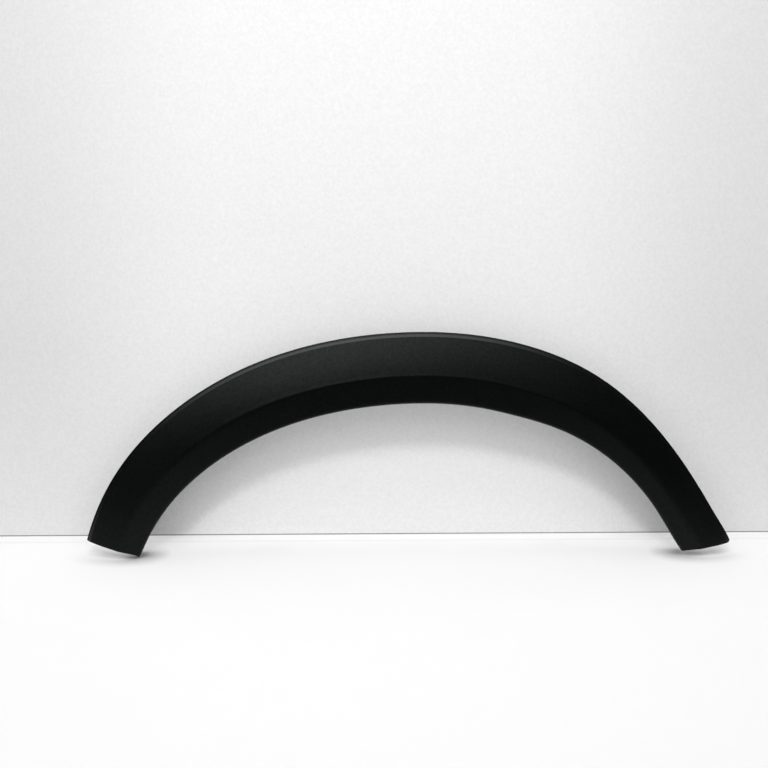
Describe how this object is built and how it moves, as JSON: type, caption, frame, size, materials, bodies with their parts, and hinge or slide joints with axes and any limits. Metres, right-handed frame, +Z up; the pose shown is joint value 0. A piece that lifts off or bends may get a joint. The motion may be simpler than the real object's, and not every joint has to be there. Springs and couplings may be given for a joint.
{
  "type": "wheel arch trim",
  "caption": "Black moulded wheel arch flare: a tapered arched band with a crest line, a bevelled edge, a return flange with screw tabs, and push-in clips behind.",
  "frame": {"origin": "the crown clip's shank, on the plane that the fender's skin touches, straight above the wheel centre", "axes": "+X along the car towards the narrow end, +Z up, +Y inboard along the clips; the visible face looks along -Y"},
  "size_m": [0.7669, 0.0608, 0.2661],
  "materials": {
    "moulding": "satin black, fine grain",
    "clip": "natural nylon, smooth"
  },
  "bodies": {
    "root": {"arch_moulding": "moulding", "retaining_clips": "clip"}
  },
  "joints": []
}
